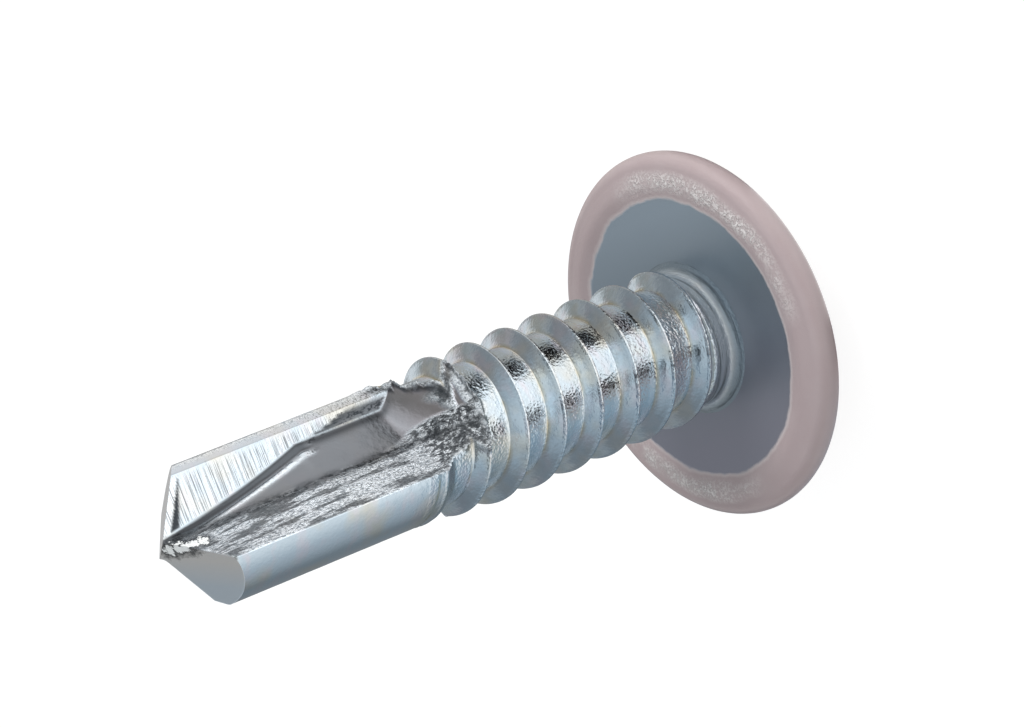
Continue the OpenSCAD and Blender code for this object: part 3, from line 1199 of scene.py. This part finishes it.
    def shape(self, obj: bpy.types.Object) -> None:
        """Moves the points of the wound thread onto the blank and flutes, and keeps the masks.

        Args:
            obj: the wound thread.
        """
        m = self.marks
        points = read_points(obj)
        angle = np.mod(np.degrees(np.arctan2(points[:, 1], points[:, 0])), 360)
        step = 360 / self.around
        index = np.mod(np.rint(angle / step).astype(int), self.around)
        new_angle = self.lines()[index]
        z = points[:, 2] - self.face - self.pitch * (new_angle - index * step) / 360
        outer = self.outer(np.hypot(points[:, 0], points[:, 1]), z)
        h = self.length - z
        turned = np.radians(new_angle)
        noises = Grain.at(np.stack([np.cos(turned), np.sin(turned), z], 1))
        radius = outer.copy()
        masks = {which: np.zeros_like(z) for which in Mask}
        for half, fall, share in zip((0, 180), self.clearances, m.rolled_shares):
            r = self.read_flute(half, new_angle, h, outer, noises.wander)
            border = m.border_x + m.border_rise * smooth(*m.border_in, h)
            x = r.x + noises.wander * 0.06
            strip, triangle = self.mark_lip(r, fall)
            lines, grime = self.mark_painted_shade(r, border, noises.wander)
            torn, bead, end_line = self.mark_end(r, noises)
            rough = np.maximum(r.on_floor * (1 - smooth(border - 0.08, border + 0.08, x)), torn)
            edge_part = (h < self.drill_l + 0.6) * (r.cut < outer + 0.02)
            on_margin = within((-5.2, -4.0), (0.6, 1.4), r.phi) * edge_part
            inner_strip = within((0.6, 1.4), (5.4, 6.2), r.phi) * edge_part
            streaked = rough * m.streak_high + on_margin * m.margin_high
            cut = r.cut + streaked * noises.streak
            rolled, rolled_top = self.roll_burr(r, cut, outer, share)
            radius = np.where(cut < outer, np.minimum(radius, cut), radius)
            radius = radius + rolled * (0.05 + 0.08 * noises.fine)
            plain_floor = r.on_floor * (1 - rough) * (1 - 0.8 * r.burr)
            found = {
                Mask.RAKE: (r.on_rake,),
                Mask.ROUGH: (rough, rolled),
                Mask.MARGIN: (rolled_top, 0.8 * bead, 0.3 * r.burr, on_margin * (h < self.drill_l)),
                Mask.LIP: (strip, 0.7 * r.burr, 0.6 * inner_strip),
                # painted shade: the next two masks hold the shade in the flute, the shade lines, the
                # triangle below the lip and the shadow line under the bead
                Mask.GRIME: (grime,),
                Mask.DARK: (triangle, lines, 0.9 * end_line),
                Mask.FLOOR: (r.wedge, plain_floor)}
            for which, values in found.items():
                masks[which] = greatest(masks[which], *values)
        self.mark_thread(masks, z, new_angle, radius > outer - 0.02)
        radius = radius + 0.003 * noises.wander * (z > 0.6)
        write_points(obj, np.stack([radius * np.cos(turned), radius * np.sin(turned),
                                    z + self.face], 1))
        for which, values in masks.items():
            write_mask(obj, which.value, values)

    def cut(self, height: float, normal: tuple[float, float, float], upper: bool) -> None:
        """Bisects the mesh in edit mode, clears one side and closes the hole.

        Args:
            height: height at which the plane crosses the axis, over the crown.
            normal: the plane's normal.
            upper: whether the side that the normal points to goes.
        """
        bpy.ops.mesh.select_all(action="SELECT")
        bpy.ops.mesh.bisect(plane_co=(0, 0, height * MM), plane_no=normal, use_fill=True,
                            clear_outer=upper, clear_inner=not upper, threshold=0.0005 * MM)

    def build(self) -> bpy.types.Object:
        """Winds the section into a left-handed thread, shapes it and cuts the point.

        Returns:
            The shank.
        """
        turns = math.ceil((self.length + 1.4) / self.pitch) + 1
        start = self.face + self.first_crest - 2 * self.pitch + turns * self.pitch
        section = [(r, z + start) for r, z in self.section()]
        obj = draw_outline("threaded_shank", section)
        wind = obj.modifiers.new("wind", "SCREW")
        wind.axis = "Z"
        wind.angle = 2 * math.pi
        wind.screw_offset = -self.pitch * MM
        wind.iterations = turns
        wind.steps = self.around
        wind.render_steps = self.around
        wind.use_merge_vertices = False
        activate(obj)
        bpy.ops.object.modifier_apply(modifier=wind.name)
        bpy.ops.object.mode_set(mode="EDIT")
        bpy.ops.mesh.select_all(action="SELECT")
        bpy.ops.mesh.remove_doubles(threshold=MERGE * MM)
        bpy.ops.object.mode_set(mode="OBJECT")
        self.shape(obj)
        activate(obj)
        bpy.ops.object.mode_set(mode="EDIT")
        self.cut(self.face - self.sink, (0, 0, 1), False)
        tip = self.face + self.length
        for side, fall in zip((1, -1), self.clearances):
            self.cut(tip, (side * self.lip_slope, side * fall, 1), True)
        bpy.ops.object.mode_set(mode="OBJECT")
        finish_mesh(obj, self.crisp_angle)
        return obj

    def dress(self, obj: bpy.types.Object, finish: ZincPlate) -> None:
        """Gives the shank its zinc plate, and the flank faces of its point their own.

        Args:
            obj: the shank.
            finish: the plate.
        """
        obj.data.materials.clear()
        obj.data.materials.append(finish.build())
        obj.data.materials.append(finish.build_flank())
        flanks = [Vector((side * self.lip_slope, side * fall, 1)).normalized()
                  for side, fall in zip((1, -1), self.clearances)]
        for face in obj.data.polygons:
            if face.center.z > (self.face + self.length - self.point_l) * MM:
                if max(face.normal.dot(way) for way in flanks) > 0.9995:
                    face.material_index = 1


@dataclass
class Studio:
    """Pale floor, soft lamps, reflector disc and the camera of the picture."""

    camera_at: tuple[float, float, float] = (0.6995, -108.6596, 89.2033)
    aim_at: tuple[float, float, float] = (1.1028, 0.0, 8.0645)
    roll: float = -111.6523
    focal_px: float = 5171.24
    sensor_mm: float = 36.0
    lit_at: tuple[float, float, float] = (0, 0, 8)
    floor_colour: str = "#E4E4E4"
    floor_glow: float = 0.9
    floor_share: float = 0.26
    # brightness and tint by azimuth in degrees, from the picture's side towards +X
    near_cards: tuple[tuple[float, float, str], ...] = (
        (-180, 0.24, "#E2F0FA"), (-112, 0.28, "#D6EAF6"), (-88, 0.5, "#CCE4F4"), (-60, 0.64, "#CCE4F4"),
        (-44, 0.55, "#DCEAF4"), (-33, 0.55, "#F6F0F2"), (-29, 0.02, "#FFFFFF"), (-15, 0.02, "#FFFFFF"),
        (-9, 1.28, "#FFFFFF"), (44, 1.42, "#FFFFFF"), (50, 0.01, "#FFFFFF"), (85, 0.01, "#FFFFFF"),
        (94, 0.5, "#FFFDF6"), (125, 0.5, "#FFFAF0"), (150, 0.34, "#FFFFFF"), (180, 0.36, "#FFFFFF"))
    far_cards: tuple[tuple[float, float, str], ...] = (
        (-180, 0.26, "#EAF2F8"), (-120, 0.3, "#DCEAF4"), (-80, 0.74, "#E4EEF6"), (-52, 1.16, "#F6F9FB"),
        (-9, 1.6, "#FFFFFF"), (52, 1.7, "#FFFFFF"), (62, 0.9, "#FFFCFC"), (115, 0.9, "#FFFCFC"),
        (145, 0.5, "#FFFFFF"), (180, 0.36, "#FFFFFF"))
    near_mm: float = 18.8
    disc_mm: float = 90.0
    # a ramp's white stands for this brightness
    brightest: float = 2.0
    sky: tuple[tuple[float, float, str], ...] = (
        (0.0, 1.0, "#FFFFFF"), (0.08, 0.9, "#FFFFFF"), (0.2, 0.4, "#F6F6F0"), (0.34, 0.43, "#F6F6F0"),
        (0.42, 0.5, "#FFFFFF"), (0.52, 0.36, "#F0F4F8"), (0.74, 0.38, "#F0F4F8"),
        (0.93, 0.72, "#E2EEF6"), (1.0, 0.95, "#E8F1F7"))

    def fill_ramp(self, node: bpy.types.Node, stops: Sequence[tuple[float, float, str]]) -> None:
        """Writes tinted stops into a colour ramp.

        Args:
            node: the ColorRamp node.
            stops: position from 0 to 1, brightness and tint.
        """
        ramp = node.color_ramp
        while len(ramp.elements) > 1:
            ramp.elements.remove(ramp.elements[-1])
        for i, (at, level, tint) in enumerate(stops):
            stop = ramp.elements[0] if i == 0 else ramp.elements.new(at)
            stop.position = at
            stop.color = [level / self.brightest * c for c in linear(tint)[:3]] + [1]

    def floor(self) -> None:
        """A wide pale floor under the crown, which shows white and keeps the screw's shadow."""
        deselect()
        bpy.ops.mesh.primitive_plane_add(size=6.0, location=(0, 0, 0))
        obj = bpy.context.object
        obj.name = "floor"
        made, n = new_material("floor")
        pale = linear(self.floor_colour)
        lit = n.add("BsdfDiffuse", pale)
        part = n.add("BsdfDiffuse", [c * self.floor_share for c in pale[:3]] + [1])
        glow = n.add("Emission", (1, 1, 1, 1), self.floor_glow)
        path = n.add("LightPath").node.outputs
        seen = n.add("Math.MAXIMUM", path["Is Camera Ray"], path["Is Glossy Ray"])
        seen = n.add("Math.MAXIMUM", seen, path["Is Transmission Ray"])
        n.add("OutputMaterial", n.add("MixShader", seen, lit, n.add("AddShader", part, glow)))
        obj.data.materials.append(made)

    def reflector(self) -> None:
        """A disc of pale and dark cards on the floor that only the metal's reflections see."""
        deselect()
        bpy.ops.mesh.primitive_circle_add(vertices=96, radius=self.disc_mm * MM, fill_type="NGON",
                                          location=(0, 0, 0.02 * MM))
        obj = bpy.context.object
        obj.name = "reflector"
        made, n = new_material("reflector")
        at = n.add("TexCoord", give="Object")
        turned = n.add("VectorRotate.Z_AXIS", Vector=at, Angle=math.radians(90))
        sweep = n.add("TexGradient.RADIAL", turned, give="Fac")
        rings = []
        for cards in (self.near_cards, self.far_cards):
            rings.append(n.add("ValToRGB", sweep))
            self.fill_ramp(rings[-1].node, [((a + 180) / 360, v, tint) for a, v, tint in cards])
        out = n.add("VectorMath.LENGTH", at)
        share = n.add("MapRange", out, (self.near_mm - 0.6) * MM, (self.near_mm + 0.6) * MM)
        glow = n.add("Emission", n.add("Mix.RGBA", share, *rings), self.brightest)
        n.add("OutputMaterial", glow)
        obj.data.materials.append(made)
        for kind in ("camera", "diffuse", "shadow", "transmission"):
            setattr(obj, "visible_" + kind, False)

    def world(self) -> None:
        """Soft light all round: pale at the horizon, grey above it and bright overhead."""
        scene = bpy.context.scene
        scene.world = bpy.data.worlds.new("studio")
        scene.world.use_nodes = True
        scene.world.node_tree.nodes.clear()
        n = Nodes(scene.world.node_tree)
        way = n.add("TexCoord", give="Generated")
        ramp = n.add("ValToRGB", n.add("SeparateXYZ", way, give="Z"))
        self.fill_ramp(ramp.node, self.sky)
        n.add("OutputWorld", n.add("Background", ramp, self.brightest))

    def lamp(self, name: str, at: tuple[float, float, float], size: float, power: float) -> None:
        """A soft square lamp that faces the screw and that no reflection shows.

        Args:
            name: the lamp's name.
            at: its place in millimetres.
            size: its side in millimetres.
            power: its power in watts.
        """
        data = bpy.data.lights.new(name, "AREA")
        data.shape = "SQUARE"
        data.size = size * MM
        data.energy = power
        obj = bpy.data.objects.new(name, data)
        bpy.context.collection.objects.link(obj)
        way = Vector(self.lit_at) - Vector(at)
        obj.visible_glossy = False
        obj.location = Vector(at) * MM
        obj.rotation_euler = way.to_track_quat("-Z", "Y").to_euler()

    def camera(self) -> None:
        """The camera of the picture, turned about its own view axis as the picture is."""
        data = bpy.data.cameras.new("camera")
        data.sensor_width = self.sensor_mm
        data.lens = self.focal_px / IMAGE_WIDTH * self.sensor_mm
        data.clip_start = 0.001
        data.clip_end = 50.0
        obj = bpy.data.objects.new("camera", data)
        bpy.context.collection.objects.link(obj)
        way = Vector(self.aim_at) - Vector(self.camera_at)
        level = way.to_track_quat("-Z", "Y").to_matrix().to_4x4()
        rolled = level @ Matrix.Rotation(math.radians(self.roll), 4, "Z")
        obj.matrix_world = Matrix.Translation(Vector(self.camera_at) * MM) @ rolled
        bpy.context.scene.camera = obj

    def build(self) -> None:
        """Sets the whole studio up."""
        bpy.context.scene.view_settings.view_transform = "Standard"
        self.floor()
        self.reflector()
        self.world()
        self.lamp("key", (-90, -120, 220), 140, 0.13)
        self.lamp("rim", (180, -50, 110), 110, 0.34)
        self.camera()


def main() -> None:
    """Builds the screw's pieces in order, dresses them and sets the studio."""
    logging.basicConfig(level=logging.INFO, format="%(name)s %(message)s")
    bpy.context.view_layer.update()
    flange_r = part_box(NODE)[1].x / MM
    head = Head(flange_r=flange_r)
    shank = Shank(face=head.height)
    pieces = ((head, HeadFinish()), (shank, ZincPlate()))
    for part, finish in pieces:
        obj = part.build()
        part.dress(obj, finish)
        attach(obj, BODY)
        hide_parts(NODE)
        LOG.info("%s: %d faces", obj.name, len(obj.data.polygons))
    Studio().build()


if __name__ == "__main__":
    main()
